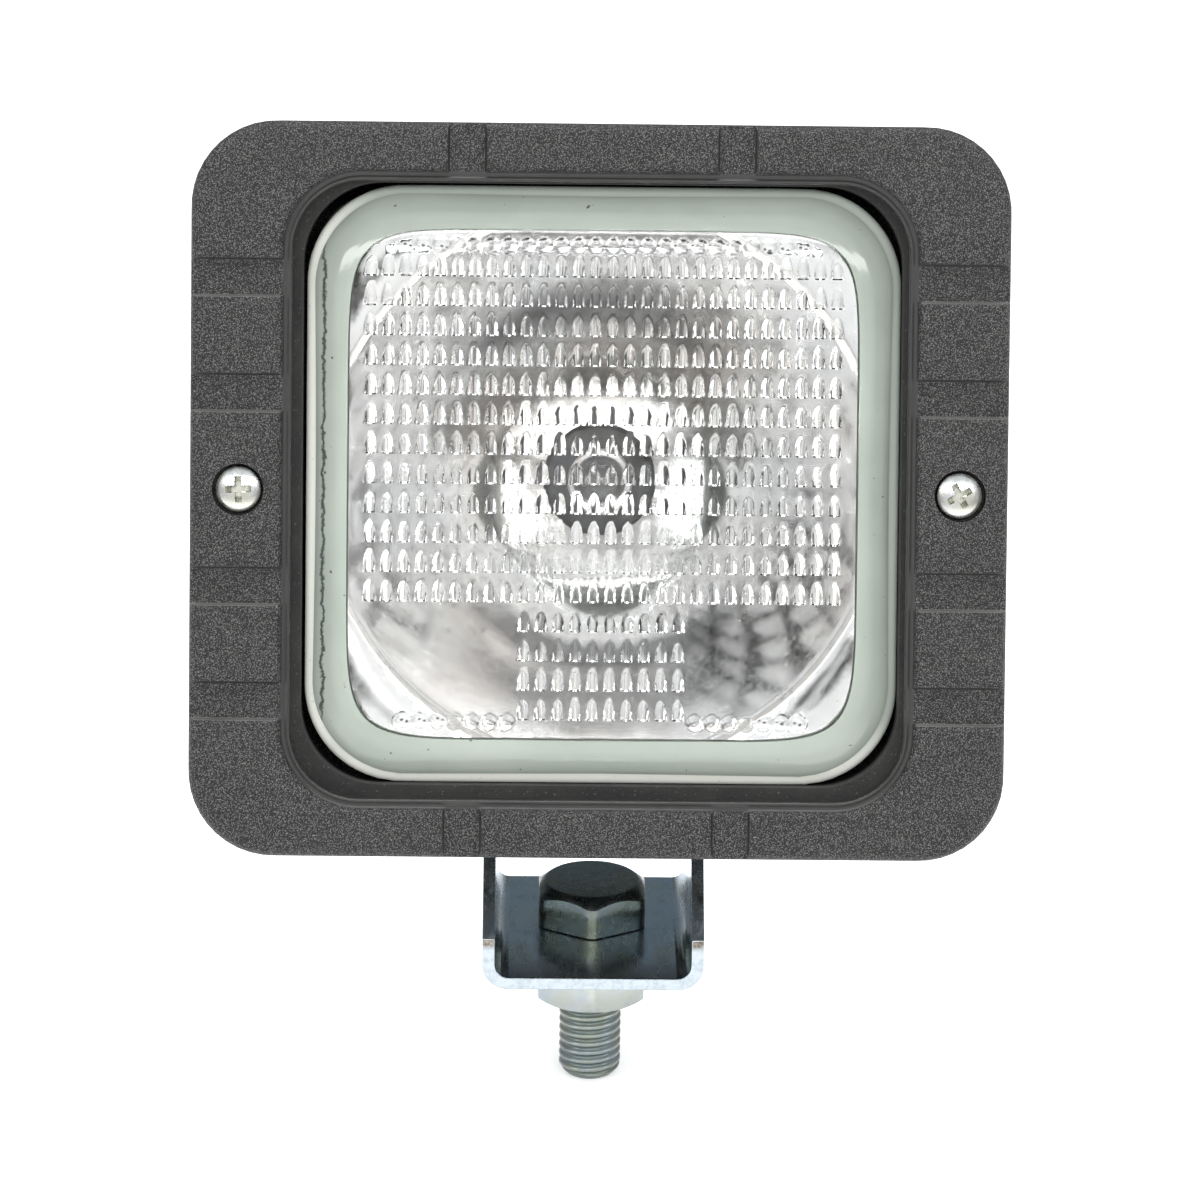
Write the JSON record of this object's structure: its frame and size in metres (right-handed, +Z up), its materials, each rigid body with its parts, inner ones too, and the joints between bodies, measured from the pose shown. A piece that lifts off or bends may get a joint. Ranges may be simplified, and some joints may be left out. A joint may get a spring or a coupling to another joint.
{
  "type": "fog light",
  "caption": "Square halogen lamp with a grained black bezel and a patterned glass lens, on a tilting, swivelling steel U-bracket with a threaded mounting stud.",
  "frame": {"origin": "on the mounting bolt's axis, in the plane of the mounting nut's underside", "axes": "+Z up along the mounting bolt, -Y to the front that the lens faces, +X to the right seen from the front"},
  "size_m": [0.125, 0.0951, 0.1591],
  "materials": {
    "stud_zinc": "zinc plated, satin",
    "washer_zinc": "zinc plated, satin",
    "bracket_zinc": "blue-white zinc plate over rolled strip, glossy",
    "pivot_zinc": "zinc plated, satin",
    "bezel_black": "leather-grained black moulding",
    "housing_black": "fine matt black moulding",
    "seal_rubber": "black rubber",
    "lens_sealant": "dark bead of sealant",
    "lens_glass": "pressed soda glass with a green edge and optics on its inner face",
    "reflector_mirror": "vacuum aluminised",
    "holder_steel": "plain plated steel",
    "bulb_quartz": "clear quartz",
    "filament_tungsten": "drawn tungsten wire",
    "socket_black": "black glass-filled moulding",
    "blade_brass": "plain brass",
    "lead_live": "red flexible insulation",
    "lead_earth": "black flexible insulation",
    "screw_zinc": "plated, dulled"
  },
  "bodies": {
    "stud": {"mounting_bolt": "stud_zinc", "mounting_nut": "stud_zinc", "spring_washer": "washer_zinc", "flat_washer": "washer_zinc"},
    "bracket": {"bracket": "bracket_zinc", "pivot_bolt": "pivot_zinc", "pivot_nut": "pivot_zinc", "pivot_washer_left": "pivot_zinc", "pivot_washer_right": "pivot_zinc"},
    "lamp_head": {"pivot_sleeve": "pivot_zinc", "bezel": "bezel_black", "rear_housing": "housing_black", "housing_gasket": "seal_rubber", "lens_gasket": "seal_rubber", "socket_seal": "seal_rubber", "lens_sealant": "lens_sealant", "lens_glass": "lens_glass", "reflector": "reflector_mirror", "bulb_holder": "holder_steel", "bulb_clip": "holder_steel", "bulb_base": "holder_steel", "bulb_capsule": "bulb_quartz", "bulb_filament": "filament_tungsten", "connector_socket": "socket_black", "terminal_blade_live": "blade_brass", "terminal_blade_earth": "blade_brass", "bulb_lead": "lead_live", "earth_lead": "lead_earth", "bezel_screw_left": "screw_zinc", "bezel_screw_right": "screw_zinc"}
  },
  "joints": [
    {"name": "bracket_swivel", "type": "hinge", "parent": "stud", "child": "bracket", "pos_m": [0, 0, 0.0116], "axis": [0, 0, 1], "continuous": true},
    {"name": "lamp_tilt", "type": "hinge", "parent": "bracket", "child": "lamp_head", "pos_m": [0, 0.006, 0.0346], "axis": [-1, 0, 0], "range_deg": [-17, 45]}
  ]
}
